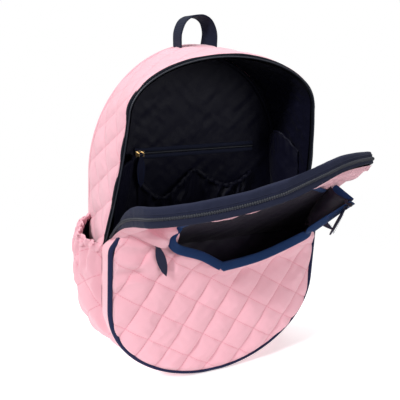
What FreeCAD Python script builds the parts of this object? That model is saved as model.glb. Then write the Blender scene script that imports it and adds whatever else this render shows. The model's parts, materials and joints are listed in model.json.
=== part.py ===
import FreeCAD, Part
import math
import os

from FreeCAD import Placement, Rotation, Vector

# Quilted backpack diaper bag, standing on its base with the main flap unzipped and folded forward.
# Millimetres. X to the wearer's side, Y towards the shoulder straps, Z up.
# The origin is on the ground, under the middle of the bag's depth.

# Outline shared by every front-to-back layer
HALF_WIDTH = 150.0
BASE_CENTRE_Z = 120.0
BASE_RISE = 123.0
FOLD_Z = 192.0
SHOULDER_HALF_WIDTH = 136.0
SHOULDER_Z = 340.0
TOP_Z = 430.0

# Depth
FRONT_Y = -52.0
SEAM_Y = -24.0
BACK_Y = 52.0
ZIP_LEAN = math.radians(10.0)

# Fabric layers
SHELL = 3.5
LINING = 1.2
GAP = 0.5
LINING_INSET = SHELL + GAP
# How far the gusset and its lining stand back from the zip plane
GUSSET_SETBACK = 9.0
LINING_SETBACK = 11.5
ZIP_STRIP_SETBACK = (8.5, 1.6)
ZIP_COIL_SETBACK = (1.4, -0.8)
FOAM = 8.0

# Flap
FLAP_REST_PITCH = 30.0
FLAP_BEND = 30.0
FLAP_LENGTH = TOP_Z - FOLD_Z
FLAP_INSET = 8.0
FLAP_START = 3.0
TAPE_DEPTH = 12.0
TAPE = 1.4
COIL = 2.2
COIL_WIDTH = 2.4

# Zip sliders and leather pulls
SLIDER_LENGTH = 13.0
SLIDER_HALF_WIDTH = 5.0
SLIDER_HALF_DEPTH = 6.0
SLIDER_SLOT = 2.1
BAR_OFFSET = 8.2
BAR_RADIUS = 1.0
EYE_RADIUS = 2.6
EYE_CLEARANCE = 0.45
PULL_LENGTH = 42.0
PULL_WIDTH = 11.5
PULL_THICKNESS = 2.0
INNER_BAR_OFFSET = 5.4

MAIN_SLIDER_RISE = 14.0
MAIN_BAR_TURN = -58.0
MAIN_PULL_LEAN = -36.0
# Pocket sliders: where each is parked, the way it travels and the turn of its bar
POCKET_ZIP_END = (-7.5, 29.0)
ZIP_END_REACH = 128.0
POCKET_SLIDERS = {
    "left": (Vector(-99, -69, 212), Vector(0.95, -0.1, 0.3), 90),
    "right": (Vector(124, -150, 261), Vector(-13, 30, 14), -28),
}

# Front pocket
POCKET_TOP_Z = 184.0
POCKET_TOP_FRONT_Z = 168.0
LIP_TAPE = 8.0
LIP_THICKNESS = 2.4
# Sections across the gaping lip: x, height of its foot, then depth and height of its free edge
LIP_SECTIONS = ((-60, 166, -72, 188), (-10, 150, -80, 168), (45, 154, -81, 173), (92, 164, -86, 188))
LIP_FOOT = 5.0
LIP_OVERLAP = 0.02
POCKET_STRIP_HALF = 104.0
POCKET_STRIP_HEIGHT = (112.0, 122.0)

# Side pockets
SIDE_POCKET_BULGE = 24.0
SIDE_POCKET_WALL = 2.5
SIDE_POCKET_Y = (-21.0, 43.0)
SIDE_POCKET_Z = (25.0, 200.0)

# Inside pockets
INNER_ZIP_Z = 292.0
INNER_ZIP_X = (-92.0, 102.0)
INNER_POUCH_BOTTOM_Z = 180.0
INNER_TAPE_HALF = 3.5
INNER_SLIDER = (3.2, 12.0, 8.0)
SLIP_X = (-80.0, 4.0, 95.0)
SLIP_Z = (110.0, 238.0)
SLIP_DEPTH = 9.0
POCKET_WALL = 1.5
WALL_POCKET_Z = (130.0, 300.0)
WALL_POCKET_Y = (3.0, 36.0)
WALL_POCKET_DEPTH = 10.0

# Handle
HANDLE_HALF_SPAN = 23.0
HANDLE_TOP_Z = 470.0
HANDLE_Y = 34.0
WEBBING_WIDTH = 25.0
WEBBING = 2.2
HANDLE_FEET_Z = 432.0
HANDLE_LEAN = math.radians(31.0)

# Shoulder straps: a slack bow between two anchors, in a plane that contains both
STRAP_TOP = Vector(48, 61.5, 392)
STRAP_BOTTOM = Vector(104, 61.5, 62)
STRAP_BOW = 34.0
STRAP_WIDTH = 46.0
STRAP_THICKNESS = 9.0
STRAP_PAD_SHARE = 0.62
HANGER_DEPTH = 11.0
HANGER_HALF_WIDTH = 18.0
HANGER_ABOVE = (9.0, 14.0)
PATCH_HALF_WIDTH = 80.0
PATCH_Z = (398.0, 410.0)
PATCH_THICKNESS = 3.0
TAB_OUTLINE = ((92, 66), (116, 66), (126, 40), (100, 34))
TAB_THICKNESS = 2.6
LUG_X = (96.0, 116.0)
LUG_BELOW = (10.0, 5.0)

FAR = 400.0


def box(x, y, z):
    """Block between two limits along each axis."""
    return Part.makeBox(x[1] - x[0], y[1] - y[0], z[1] - z[0], Vector(x[0], y[0], z[0]))


def ellipse_arc(half, rise, centre_z, start, end):
    centre = Vector(0, 0, centre_z)
    ellipse = Part.Ellipse(Vector(half, 0, centre_z), Vector(0, 0, centre_z + rise), centre)
    return Part.ArcOfEllipse(ellipse, start, end).toShape()


def outline_face(inset):
    """The bag seen from the front: round base, straight sides, arched top."""
    wide = HALF_WIDTH - inset
    shoulder = SHOULDER_HALF_WIDTH - inset
    right = [Vector(wide, 0, BASE_CENTRE_Z), Vector(wide, 0, FOLD_Z), Vector(shoulder, 0, SHOULDER_Z)]
    left = [Vector(-p.x, 0, p.z) for p in reversed(right)]
    edges = [ellipse_arc(wide, BASE_RISE - inset, BASE_CENTRE_Z, math.pi, 2 * math.pi)]
    edges += [Part.makeLine(a, b) for a, b in zip(right, right[1:])]
    edges += [ellipse_arc(shoulder, TOP_Z - SHOULDER_Z - inset, SHOULDER_Z, 0, math.pi)]
    edges += [Part.makeLine(a, b) for a, b in zip(left, left[1:])]
    return Part.Face(Part.Wire(edges))


def slab(inset, y0, y1):
    """The outline as a plate between two depths, flat where the base meets the ground."""
    plate = outline_face(inset).extrude(Vector(0, y1 - y0, 0))
    plate.translate(Vector(0, y0, 0))
    floor = max(inset, 0)
    return plate.cut(box((-FAR, FAR), (y0 - 1, y1 + 1), (-FAR, floor)))


def band(outer, inner, y0, y1):
    """A strip of wall that follows the outline between two insets."""
    return slab(outer, y0, y1).cut(slab(inner, y0 - 1, y1 + 1))


def yz_prism(points, x0=-FAR, x1=FAR):
    """A profile drawn in the side view, extruded across the bag."""
    corners = [Vector(x0, y, z) for y, z in points]
    return Part.Face(Part.makePolygon(corners + corners[:1])).extrude(Vector(x1 - x0, 0, 0))


def zip_plane_y(z):
    return SEAM_Y - (z - FOLD_Z) * math.tan(ZIP_LEAN)


def front_space(shift):
    """Everything in front of the leaning zip plane, moved back by shift, above the fold."""
    top = TOP_Z + 60
    return yz_prism([(-FAR, FOLD_Z), (zip_plane_y(FOLD_Z) + shift, FOLD_Z),
                     (zip_plane_y(top) + shift, top), (-FAR, top)])


def mouth_space(shift, seam_gap):
    """The room in front of the main compartment: up to the seam below the fold, to the zip above it."""
    top = TOP_Z + 60
    seam = SEAM_Y + seam_gap
    return yz_prism([(-FAR, -FAR), (seam, -FAR), (seam, FOLD_Z), (zip_plane_y(FOLD_Z) + shift, FOLD_Z),
                     (zip_plane_y(top) + shift, top), (-FAR, top)])


def mirrored(shape):
    return shape.mirror(Vector(0, 0, 0), Vector(1, 0, 0))


def moved(shape, position, rotation):
    copy = shape.copy()
    copy.Placement = Placement(position, rotation).multiply(copy.Placement)
    return copy


# ---- body shell ----

def main_gusset():
    wall = band(0, SHELL, -FAR, BACK_Y - SHELL - GAP)
    return wall.cut(mouth_space(GUSSET_SETBACK, GAP))


def gusset_lining():
    wall = band(LINING_INSET, LINING_INSET + LINING, -FAR, BACK_Y - SHELL - FOAM - LINING - 3 * GAP)
    return wall.cut(mouth_space(LINING_SETBACK, 2 * GAP))


def back_layers():
    panel = slab(0, BACK_Y - SHELL, BACK_Y)
    foam_back = BACK_Y - SHELL - GAP
    pouch_back = foam_back - FOAM - 0.2
    lining_front = BACK_Y - SHELL - FOAM - LINING - 2 * GAP
    recess = box((INNER_ZIP_X[0] - 2, INNER_ZIP_X[1] + 2), (foam_back - FOAM - 1, foam_back - FOAM + 3),
                 (INNER_POUCH_BOTTOM_Z - 2, INNER_ZIP_Z + 8))
    foam = slab(LINING_INSET + 2, foam_back - FOAM, foam_back).cut(recess)
    pouch = box(INNER_ZIP_X, (pouch_back + 0.4, pouch_back + 2.4), (INNER_POUCH_BOTTOM_Z, INNER_ZIP_Z + 6))
    slot = box((INNER_ZIP_X[0] + 6, INNER_ZIP_X[1] - 6), (lining_front - 1, lining_front + 3),
               (INNER_ZIP_Z - 4, INNER_ZIP_Z + 4))
    lining = slab(LINING_INSET + LINING + GAP, lining_front, lining_front + LINING).cut(slot)
    return {"back_panel": panel, "back_foam": foam, "inner_pocket_bag": pouch, "back_lining": lining}


def front_pocket():
    """The rounded outer pocket: quilted front, gusset, lining and the wall shared with the bag."""
    slant = yz_prism([(-FAR, POCKET_TOP_FRONT_Z), (FRONT_Y, POCKET_TOP_FRONT_Z), (SEAM_Y, POCKET_TOP_Z),
                      (FAR, POCKET_TOP_Z), (FAR, FAR * 2), (-FAR, FAR * 2)])
    above_panel = box((-FAR, FAR), (-FAR, FAR), (POCKET_TOP_FRONT_Z, FAR * 2))
    return {
        "front_panel": slab(4.0, FRONT_Y - 4, FRONT_Y).cut(above_panel),
        "pocket_front_lining": slab(LINING_INSET, FRONT_Y + GAP, FRONT_Y + GAP + LINING).cut(above_panel),
        "pocket_gusset": band(0, SHELL, FRONT_Y + 2, SEAM_Y).cut(slant),
        "front_piping": band(0, 3.2, FRONT_Y - 3.2, FRONT_Y + 1.4).cut(above_panel),
        "pocket_divider": slab(LINING_INSET, SEAM_Y - 2, SEAM_Y - GAP).cut(slant),
    }


def main_zip_body_half():
    """The half of the main zip sewn to the gusset: tape, then coil along its free edge."""
    rear, front = ZIP_STRIP_SETBACK
    strip = band(1.0, 1.0 + TAPE, -FAR, FAR).common(front_space(rear)).cut(front_space(front))
    rear, front = ZIP_COIL_SETBACK
    coil = band(0.4, 0.4 + COIL_WIDTH, -FAR, FAR).common(front_space(rear)).cut(front_space(front))
    lowest = box((-FAR, FAR), (-FAR, FAR), (-FAR, FOLD_Z + 2))
    return {"main_zip_tape": strip.cut(lowest), "main_zip_coil": coil.cut(lowest)}


# ---- pockets ----

def side_pocket(side):
    """An open-topped patch pocket that bulges from the gusset, with an elastic rim."""
    y0, y1 = SIDE_POCKET_Y
    z0, z1 = SIDE_POCKET_Z
    outset = -SIDE_POCKET_BULGE
    wall = SIDE_POCKET_WALL
    across = (-FAR, -60.0)
    solid = slab(outset, y0, y1).cut(slab(-GAP, y0 - 1, y1 + 1)).common(box(across, (y0, y1), (z0, z1)))
    hollow = slab(outset + wall, y0 + wall, y1 - wall).common(box(across, (y0, y1), (z0 + wall, z1 + 1)))
    rim = band(outset, outset + 2.0, y0, y1).common(box(across, (y0, y1), (z1 + GAP, z1 + 7)))
    pocket = solid.cut(hollow)
    return [mirrored(pocket), mirrored(rim)] if side > 0 else [pocket, rim]


def slip_pockets():
    """Two open pockets on the back lining, with elastic along their tops."""
    back = BACK_Y - SHELL - FOAM - LINING - 2 * GAP - GAP
    x0, divide, x1 = SLIP_X
    z0, z1 = SLIP_Z
    tray = box((x0, x1), (back - SLIP_DEPTH, back), (z0, z1))
    for left, right in ((x0, divide), (divide, x1)):
        tray = tray.cut(box((left + POCKET_WALL, right - POCKET_WALL),
                            (back - SLIP_DEPTH + POCKET_WALL, back + 1), (z0 + POCKET_WALL, z1 + 1)))
    rim = box((x0, x1), (back - SLIP_DEPTH, back - SLIP_DEPTH + POCKET_WALL), (z1 + 0.3, z1 + 6))
    return {"slip_pockets": tray, "slip_pocket_elastic": rim}


def wall_pocket(side):
    """An open pocket on the side lining."""
    inset = LINING_INSET + LINING + GAP
    y0, y1 = WALL_POCKET_Y
    z0, z1 = WALL_POCKET_Z
    side_only = (-FAR, -60)
    front_wall = inset + WALL_POCKET_DEPTH - POCKET_WALL
    block = band(inset, inset + WALL_POCKET_DEPTH, y0, y1).common(box(side_only, (y0, y1), (z0, z1)))
    hollow = band(inset - 1, front_wall, y0 + POCKET_WALL, y1 - POCKET_WALL).common(
        box(side_only, (y0, y1), (z0 + POCKET_WALL, z1 + 1)))
    pocket = block.cut(hollow)
    return mirrored(pocket) if side > 0 else pocket


def pocket_lip():
    """The limp top edge of the front pocket, gaping forward, with its half of the pocket zip."""
    base_y = FRONT_Y - LIP_FOOT - LIP_THICKNESS
    lip, tape = [], []
    for x, base_z, edge_y, edge_z in LIP_SECTIONS:
        out, rise = edge_y - base_y, edge_z - base_z
        share = 1 - LIP_TAPE / math.hypot(out, rise)
        seam = (base_y + share * out, base_z + share * rise)
        start = (base_y + (share + LIP_OVERLAP) * out, base_z + (share + LIP_OVERLAP) * rise)
        lip.append(lip_section(x, (base_y, base_z), seam, LIP_THICKNESS))
        tape.append(lip_section(x, start, (edge_y, edge_z), TAPE))
    return {
        "pocket_lip": Part.makeLoft(lip, True, True),
        "pocket_lip_tape": Part.makeLoft(tape, True, True),
    }


def lip_section(x, low, high, thickness):
    corners = [Vector(x, low[0], low[1]), Vector(x, high[0], high[1]),
               Vector(x, high[0] + thickness, high[1]), Vector(x, low[0] + thickness, low[1])]
    return Part.makePolygon(corners + corners[:1])


# ---- flap ----

def flap_layer(inner, outer):
    """A bent sheet from the fold forwards; inner and outer are heights above the outer fabric."""
    bend = math.radians(FLAP_BEND)
    radius = FLAP_LENGTH / bend
    centre = Vector(0, 0, 0)
    faces = []
    for height in (inner, outer):
        r = radius + height
        points = [Vector(0, r * math.sin(a), r * math.cos(a)) for a in (0.0, bend / 2, bend)]
        faces.append((Part.Arc(*points).toShape(), points))
    (low, low_points), (high, high_points) = faces
    ends = [Part.makeLine(low_points[2], high_points[2]), Part.makeLine(high_points[0], low_points[0])]
    profile = Part.Face(Part.Wire([low, ends[0], high, ends[1]]))
    sheet = profile.extrude(Vector(2 * HALF_WIDTH, 0, 0))
    sheet.translate(Vector(-HALF_WIDTH, 0, -radius))
    # The sheet now starts level at the origin and curls down towards +Y; turn its chord onto +Z.
    sheet.rotate(centre, Vector(1, 0, 0), 90 + FLAP_BEND / 2)
    return mirror_depth(sheet)


def mirror_depth(shape):
    """Swap front and back about the hinge plane."""
    return shape.mirror(Vector(0, 0, 0), Vector(0, 1, 0))


def flap_outline(inset, start):
    """The flap seen square on, from the fold up, as a block through its thickness."""
    block = outline_face(inset).extrude(Vector(0, 200, 0))
    block.translate(Vector(0, -100, -FOLD_Z))
    return block.cut(box((-FAR, FAR), (-FAR, FAR), (-FAR * 2, start)))


def fold_forward(shape):
    """Turn a flap piece drawn upright, hinged at the origin, to its open position."""
    return moved(shape, Vector(0, SEAM_Y, FOLD_Z), Rotation(Vector(1, 0, 0), 90 - FLAP_REST_PITCH))


def flap_parts():
    lining_base = SHELL + 0.4
    tape_base = lining_base + LINING + 0.4
    coil_base = tape_base + TAPE_DEPTH + 0.3
    edge = flap_outline(FLAP_INSET + 1, FLAP_START).cut(flap_outline(FLAP_INSET + 1 + TAPE, -1))
    coil_edge = flap_outline(FLAP_INSET + 0.4, FLAP_START).cut(flap_outline(FLAP_INSET + 0.4 + COIL_WIDTH, -1))
    whole = flap_outline(FLAP_INSET, FLAP_START)
    pocket_strip = box((-POCKET_STRIP_HALF, POCKET_STRIP_HALF), (-FAR, FAR), POCKET_STRIP_HEIGHT)
    parts = {
        "flap_panel": flap_layer(0, SHELL).common(whole),
        "flap_lining": flap_layer(lining_base, lining_base + LINING).common(whole),
        "flap_zip_tape": flap_layer(tape_base, tape_base + TAPE_DEPTH).common(edge),
        "flap_zip_coil": flap_layer(coil_base, coil_base + COIL).common(coil_edge),
        "pocket_rear_tape": flap_layer(-0.4 - TAPE, -0.4).common(pocket_strip),
    }
    return {name: fold_forward(shape) for name, shape in parts.items()}


# ---- sliders and pulls ----

def zip_slider(bar_turn, slot_turn):
    """A slider about its zip: travel along Z, the bar on the +X side, the slot open to +Y until turned."""
    w, d, half = SLIDER_HALF_WIDTH, SLIDER_HALF_DEPTH, SLIDER_LENGTH / 2
    slot = box((-SLIDER_SLOT, SLIDER_SLOT), (-d + 3, d + 1), (-half - 1, half + 1))
    slot.rotate(Vector(0, 0, 0), Vector(0, 0, 1), slot_turn)
    bracket = pull_bracket(w, BAR_OFFSET).rotate(Vector(0, 0, 0), Vector(1, 0, 0), bar_turn)
    return box((-w, w), (-d, d), (-half, half)).cut(slot).fuse(bracket)


def pull_bracket(base, offset):
    """Two ears and the bar that a leather pull hangs from."""
    ears = [box((base - 0.5, offset + 1.6), (y - 0.7, y + 0.7), (-2.2, 2.2)) for y in (-3.2, 3.2)]
    bar = Part.makeCylinder(BAR_RADIUS, 6.4, Vector(offset, -3.2, 0), Vector(0, 1, 0))
    return ears[0].fuse([ears[1], bar])


def leather_pull():
    """A leaf-shaped pull hanging along -Z from an eye about the Y axis."""
    eye = Part.makeCylinder(EYE_RADIUS, 4.0, Vector(0, -2, 0), Vector(0, 1, 0))
    hole = Part.makeCylinder(BAR_RADIUS + EYE_CLEARANCE, 6.0, Vector(0, -3, 0), Vector(0, 1, 0))
    top, tip, half = -EYE_RADIUS + 0.4, -EYE_RADIUS - PULL_LENGTH, PULL_WIDTH / 2
    waist = top + 0.35 * (tip - top)
    outline = [Part.makeLine(Vector(0, 1.8, top), Vector(0, -1.8, top)),
               Part.Arc(Vector(0, -1.8, top), Vector(0, -half, waist), Vector(0, 0, tip)).toShape(),
               Part.Arc(Vector(0, 0, tip), Vector(0, half, waist), Vector(0, 1.8, top)).toShape()]
    leaf = Part.Face(Part.Wire(outline)).extrude(Vector(PULL_THICKNESS, 0, 0))
    leaf.translate(Vector(-PULL_THICKNESS / 2, 0, 0))
    return eye.fuse(leaf).cut(hole)


def slider_unit(position, travel, bar_side, bar_turn, hang, slot_turn=0):
    """A slider and its pull; hang turns the pull about its bar from lying along the travel."""
    turn = Rotation(bar_side, travel.cross(bar_side), travel, "ZXY")
    bar = turn.multiply(Rotation(Vector(1, 0, 0), bar_turn))
    eye = position.add(turn.multVec(Vector(BAR_OFFSET, 0, 0)))
    pull = moved(leather_pull(), eye, bar.multiply(Rotation(Vector(0, 1, 0), hang)))
    hinge = bar.multVec(Vector(0, 1, 0))
    return moved(zip_slider(bar_turn, slot_turn), position, turn), pull, eye, hinge


def main_slider_and_pull():
    """Parked at the lower right end of the main zip, travelling up the straight side."""
    z = FOLD_Z + MAIN_SLIDER_RISE
    rise = SHOULDER_Z - FOLD_Z
    run_in = HALF_WIDTH - SHOULDER_HALF_WIDTH
    x = HALF_WIDTH - run_in * MAIN_SLIDER_RISE / rise - 1.7
    travel = Vector(-run_in, -rise * math.tan(ZIP_LEAN), rise).normalize()
    position = Vector(x, zip_plane_y(z) + 0.3, z)
    return slider_unit(position, travel, Vector(1, 0, 0), MAIN_BAR_TURN, MAIN_PULL_LEAN) + (travel,)


def pocket_slider_and_pull(position, along, bar_turn):
    """A slider at one end of the pocket zip, its pull hanging straight off the bar below it."""
    travel = Vector(along).normalize()
    return slider_unit(position, travel, Vector(0, 0, -1), bar_turn, -90, slot_turn=90) + (travel,)


def pocket_zip_end(position, along):
    """The closed end of the pocket zip, sewn to the flap, that a pocket slider runs along."""
    travel = Vector(along).normalize()
    up = Vector(0, 0, 1)
    turn = Rotation(travel, travel.cross(up), up, "XZY")
    fin = moved(box(POCKET_ZIP_END, (-TAPE / 2, TAPE / 2), (-1, 60)), position, turn)
    inside_mouth = box((-ZIP_END_REACH, ZIP_END_REACH), (-FAR, FAR), (0, FAR))
    return fin.common(inside_mouth).cut(fold_forward(flap_layer(-GAP, 80)))


def inner_zip():
    """The zip of the pocket in the back lining, its gold slider at the left end."""
    face = BACK_Y - SHELL - FOAM - LINING - 2 * GAP
    tape = box((INNER_ZIP_X[0] + 7, INNER_ZIP_X[1] - 7), (face - 0.1, face + 0.9),
               (INNER_ZIP_Z - INNER_TAPE_HALF, INNER_ZIP_Z + INNER_TAPE_HALF))
    position = Vector(INNER_ZIP_X[0] + 14, face - 2.2, INNER_ZIP_Z)
    to_front = Rotation(Vector(0, 0, 1), -90)
    thick, long, wide = (size / 2 for size in INNER_SLIDER)
    body = box((-thick, thick), (-long, long), (-wide, wide))
    slider = body.fuse(pull_bracket(thick, INNER_BAR_OFFSET))
    eye = position.add(Vector(0, -INNER_BAR_OFFSET, 0))
    parts = {"inner_zip_tape": tape, "inner_slider": moved(slider, position, to_front),
             "inner_pull": moved(leather_pull(), eye, to_front)}
    return parts, eye


# ---- handle ----

def handle_parts():
    """A webbing loop over the top, its ends cut back to lean on the two sewn feet that it rises from."""
    y0, y1 = HANDLE_Y - WEBBING_WIDTH / 2, HANDLE_Y + WEBBING_WIDTH / 2
    outer, inner = HANDLE_HALF_SPAN, HANDLE_HALF_SPAN - WEBBING
    hollow = arch_block(inner, HANDLE_TOP_Z - WEBBING, y0 - 1, y1 + 1)
    rise = WEBBING_WIDTH * math.tan(HANDLE_LEAN)
    pivot_z = HANDLE_FEET_Z + GAP / 2
    below_pivot = yz_prism([(HANDLE_Y, pivot_z), (HANDLE_Y + WEBBING_WIDTH, pivot_z + rise), (FAR, 0),
                            (-FAR, 0), (HANDLE_Y - WEBBING_WIDTH, pivot_z + rise)])
    loop = arch_block(outer, HANDLE_TOP_Z, y0, y1).cut(hollow).cut(below_pivot)
    feet = []
    for side in (-1, 1):
        x = sorted((side * outer, side * inner))
        foot = box(x, (y0, y1), (TOP_Z - 10, HANDLE_FEET_Z))
        feet.append(foot.cut(slab(-GAP, y0 - 1, y1 + 1)))
    return {"handle": loop, "handle_feet": Part.makeCompound(feet)}


def arch_block(half, top, y0, y1):
    """An upright block with a half-round top, through the handle's width."""
    middle = top - half
    block = box((-half, half), (y0, y1), (TOP_Z - 10, middle))
    return block.fuse(Part.makeCylinder(half, y1 - y0, Vector(0, y0, middle), Vector(0, 1, 0)))


# ---- shoulder straps ----

def strap_arc(start, end, width, thickness, lift):
    """A stretch of the bowed strap; start and end run from 0 at the top to 1 at the bottom."""
    span = STRAP_TOP.sub(STRAP_BOTTOM).Length
    radius = (span ** 2 / 4 + STRAP_BOW ** 2) / (2 * STRAP_BOW)
    reach = math.asin(span / 2 / radius)

    def point(share, r):
        angle = reach * (1 - 2 * share)
        return Vector(0, r * math.cos(angle) - radius * math.cos(reach), r * math.sin(angle))

    inner, outer = radius + lift, radius + lift + thickness
    edges = []
    for r, shares in ((inner, (start, (start + end) / 2, end)), (outer, (end, (start + end) / 2, start))):
        edges.append(Part.Arc(*[point(s, r) for s in shares]).toShape())
    edges.insert(1, Part.makeLine(point(end, inner), point(end, outer)))
    edges.append(Part.makeLine(point(start, outer), point(start, inner)))
    strip = Part.Face(Part.Wire(edges)).extrude(Vector(width, 0, 0))
    strip.translate(Vector(-width / 2, 0, 0))
    middle = STRAP_TOP.add(STRAP_BOTTOM).multiply(0.5)
    axis = STRAP_TOP.sub(STRAP_BOTTOM).normalize()
    return moved(strip, middle, Rotation(Vector(0, 0, 1), axis))


def strap_parts():
    """One padded strap with its ladder buckle, webbing and tail, for the +X side."""
    lock = STRAP_PAD_SHARE
    buckle = strap_arc(lock + 0.005, lock + 0.085, 34, 5, 0.5)
    for s in (lock + 0.02, lock + 0.055):
        buckle = buckle.cut(strap_arc(s, s + 0.018, 26, 12, -3))
    return {
        "strap_pad": strap_arc(0.0, lock, STRAP_WIDTH, STRAP_THICKNESS, 0),
        "strap_buckle": buckle,
        "strap_webbing": strap_arc(lock + 0.09, 1.0, WEBBING_WIDTH, WEBBING, 0),
        "strap_tail": strap_arc(lock + 0.09, 0.90, WEBBING_WIDTH, 1.6, 3.4),
    }


def strap_anchors():
    """The patch that both straps hang from, and a tab for each strap's lower end."""
    face = BACK_Y + 0.4
    patch = box((-PATCH_HALF_WIDTH, PATCH_HALF_WIDTH), (face, face + PATCH_THICKNESS), PATCH_Z)
    patch = patch.common(slab(14, BACK_Y, BACK_Y + 20))
    low, high = (STRAP_TOP.z + rise for rise in HANGER_ABOVE)
    for side in (-1, 1):
        x = (side * STRAP_TOP.x - HANGER_HALF_WIDTH, side * STRAP_TOP.x + HANGER_HALF_WIDTH)
        patch = patch.fuse(box(x, (BACK_Y + 2, STRAP_TOP.y + HANGER_DEPTH), (low, high)))
    outline = Part.makePolygon([Vector(x, face, z) for x, z in TAB_OUTLINE + TAB_OUTLINE[:1]])
    tab = Part.Face(outline).extrude(Vector(0, TAB_THICKNESS, 0)).common(slab(2, BACK_Y, BACK_Y + 10))
    low, high = (STRAP_BOTTOM.z - drop for drop in LUG_BELOW)
    tab = tab.fuse(box(LUG_X, (BACK_Y + 2, STRAP_BOTTOM.y + 3), (low, high)))
    return {"strap_top_patch": patch, "strap_tab_right": tab, "strap_tab_left": mirrored(tab)}


# ---- assembly ----

def build():
    parts = {"main_gusset": main_gusset(), "gusset_lining": gusset_lining()}
    for group in (back_layers(), front_pocket(), main_zip_body_half(), slip_pockets(), pocket_lip(),
                  flap_parts(), handle_parts(), strap_anchors()):
        parts.update(group)
    for side, word in ((-1, "left"), (1, "right")):
        parts["side_pocket_" + word], parts["side_pocket_elastic_" + word] = side_pocket(side)
        parts["wall_pocket_" + word] = wall_pocket(side)
    for name, shape in strap_parts().items():
        parts[name + "_right"] = shape
        parts[name + "_left"] = mirrored(shape)

    units = {"main": main_slider_and_pull()}
    for word, (position, along, bar_turn) in POCKET_SLIDERS.items():
        units["pocket_" + word] = pocket_slider_and_pull(position, along, bar_turn)
        parts["pocket_zip_end_" + word] = pocket_zip_end(position, along)
    for name, (slider, pull, eye, hinge, travel) in units.items():
        group, _, side = name.partition("_")
        suffix = "_" + side if side else ""
        parts[group + "_slider" + suffix], parts[group + "_pull" + suffix] = slider, pull
        report(name, eye, hinge, travel)
    inner, eye = inner_zip()
    parts.update(inner)
    report("inner_pull", eye)
    return parts


def report(name, *vectors):
    print(name, [[round(c, 4) for c in v] for v in vectors])


def export(parts):
    os.makedirs("parts", exist_ok=True)
    for name, shape in parts.items():
        solids = shape.Solids
        if not solids or not shape.isValid() or min(s.Volume for s in solids) < 1:
            raise ValueError("bad shape: " + name)
        shape.exportStep("parts/" + name + ".step")
        print(name, len(solids), round(shape.Volume / 1000, 2), "cm3")


export(build())
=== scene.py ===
"""Looks of the quilted backpack diaper bag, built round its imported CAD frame."""
import json
import math

import bpy
import numpy as np
from mathutils import Matrix, Vector


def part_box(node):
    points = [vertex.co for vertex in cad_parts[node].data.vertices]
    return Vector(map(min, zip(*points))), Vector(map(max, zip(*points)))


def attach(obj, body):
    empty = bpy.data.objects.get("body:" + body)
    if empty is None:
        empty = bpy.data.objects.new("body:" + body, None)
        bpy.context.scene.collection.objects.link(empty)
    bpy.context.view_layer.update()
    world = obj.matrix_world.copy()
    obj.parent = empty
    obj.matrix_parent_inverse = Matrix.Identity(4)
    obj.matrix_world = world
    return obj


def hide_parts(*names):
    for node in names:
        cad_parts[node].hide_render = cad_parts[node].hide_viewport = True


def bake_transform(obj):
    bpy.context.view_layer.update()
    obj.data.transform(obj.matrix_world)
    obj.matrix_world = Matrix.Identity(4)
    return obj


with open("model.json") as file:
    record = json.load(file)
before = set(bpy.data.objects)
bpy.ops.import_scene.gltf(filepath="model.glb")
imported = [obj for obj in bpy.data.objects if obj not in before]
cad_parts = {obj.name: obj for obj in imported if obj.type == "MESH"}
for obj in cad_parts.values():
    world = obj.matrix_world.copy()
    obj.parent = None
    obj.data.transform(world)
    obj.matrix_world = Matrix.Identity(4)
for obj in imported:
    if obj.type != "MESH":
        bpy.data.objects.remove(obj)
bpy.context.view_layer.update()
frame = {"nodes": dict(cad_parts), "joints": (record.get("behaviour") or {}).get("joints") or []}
MM = 0.001


def box_mm(node):
    """A node's lowest and highest corners in millimetres, the unit of every shape below."""
    low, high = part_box(node)
    return np.array(low) / MM, np.array(high) / MM


JOINTS = {j["name"]: j for j in frame["joints"]}
HALF_WIDTH = box_mm("main_gusset")[1][0]
TOP_Z = box_mm("main_gusset")[1][2]
BACK_Y = box_mm("back_panel")[1][1]
FRONT_Y = box_mm("front_panel")[1][1]
SEAM_Y, FOLD_Z = np.array(JOINTS["flap_fold"]["pos_m"])[1:] / MM
LINING_Y = box_mm("back_lining")[0][1]

# Cloth that joins two bodies: its key, the two bodies and two heights, in metres
BLENDS = {"fold": ("bag", "flap", (0, 0, 0.160), (0, 0, 0.205)),
          "handle foot": ("bag", "handle", (0, 0, 0.430), (0, 0, 0.446))}

# The outline, bottom to top: a half ellipse, straight sides, and an arch
BASE_Z, BASE_RISE = 120.0, 117.5
FRONT_SHOULDER, FRONT_SHOULDER_Z = 131.0, 360.0
BACK_HALF, BACK_SHOULDER_Z = 141.0, 267.0

# Quilting: a square grid turned on the cloth, stitched at whole multiples of the pitch
QUILT_PITCH = 35.5
QUILT_TURN = math.radians(58.0)
QUILT_START = (-2.5, 95.0)
PUFF = 5.6
# Its thread, the pitch of the stitches and the reach of the shade beside them
THREAD_WIDTH, STITCH_PITCH, STITCH_SHADE = 1.1, 3.2, 2.2

# Open flap: degrees above level at its hinge, and how much it curls and twists further out
FLAP_LENGTH, FLAP_STRAIGHT = 238.0, 148.0
FLAP_PITCH, FLAP_CURL, FLAP_TWIST = 49.9, 39.5, 10.4
FLAP_TIP_HALF = 147.0
FLAP_SHARP, FLAP_RIGHT_SHARP = 1.7, 2.8
FLAP_EDGE = ((0, 147), (40, 147), (90, 146), (130, 147), (FLAP_STRAIGHT, FLAP_TIP_HALF))
FLAP_DOME, FLAP_CORNER_DROP, FLAP_CORNER_REACH = 4.0, 5.0, 3.0

# Section of the zip band on the flap's edge (outward, up), with its coil and the seam above it
BAND_HEIGHT = 14.0
BAND_PROFILE = ((-2.6, -5), (1.5, -5.5), (2.6, -3), (2.9, 4), (3.0, 9), (2.6, 12.6), (0.6, BAND_HEIGHT),
                (-1.6, BAND_HEIGHT - 0.4), (-3.0, 11.4), (-2.8, 6), (-2.4, 0), (-2.6, -5))
COIL_HEIGHT, COIL_SEAM_HEIGHT = 4.6, 9.4
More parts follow.
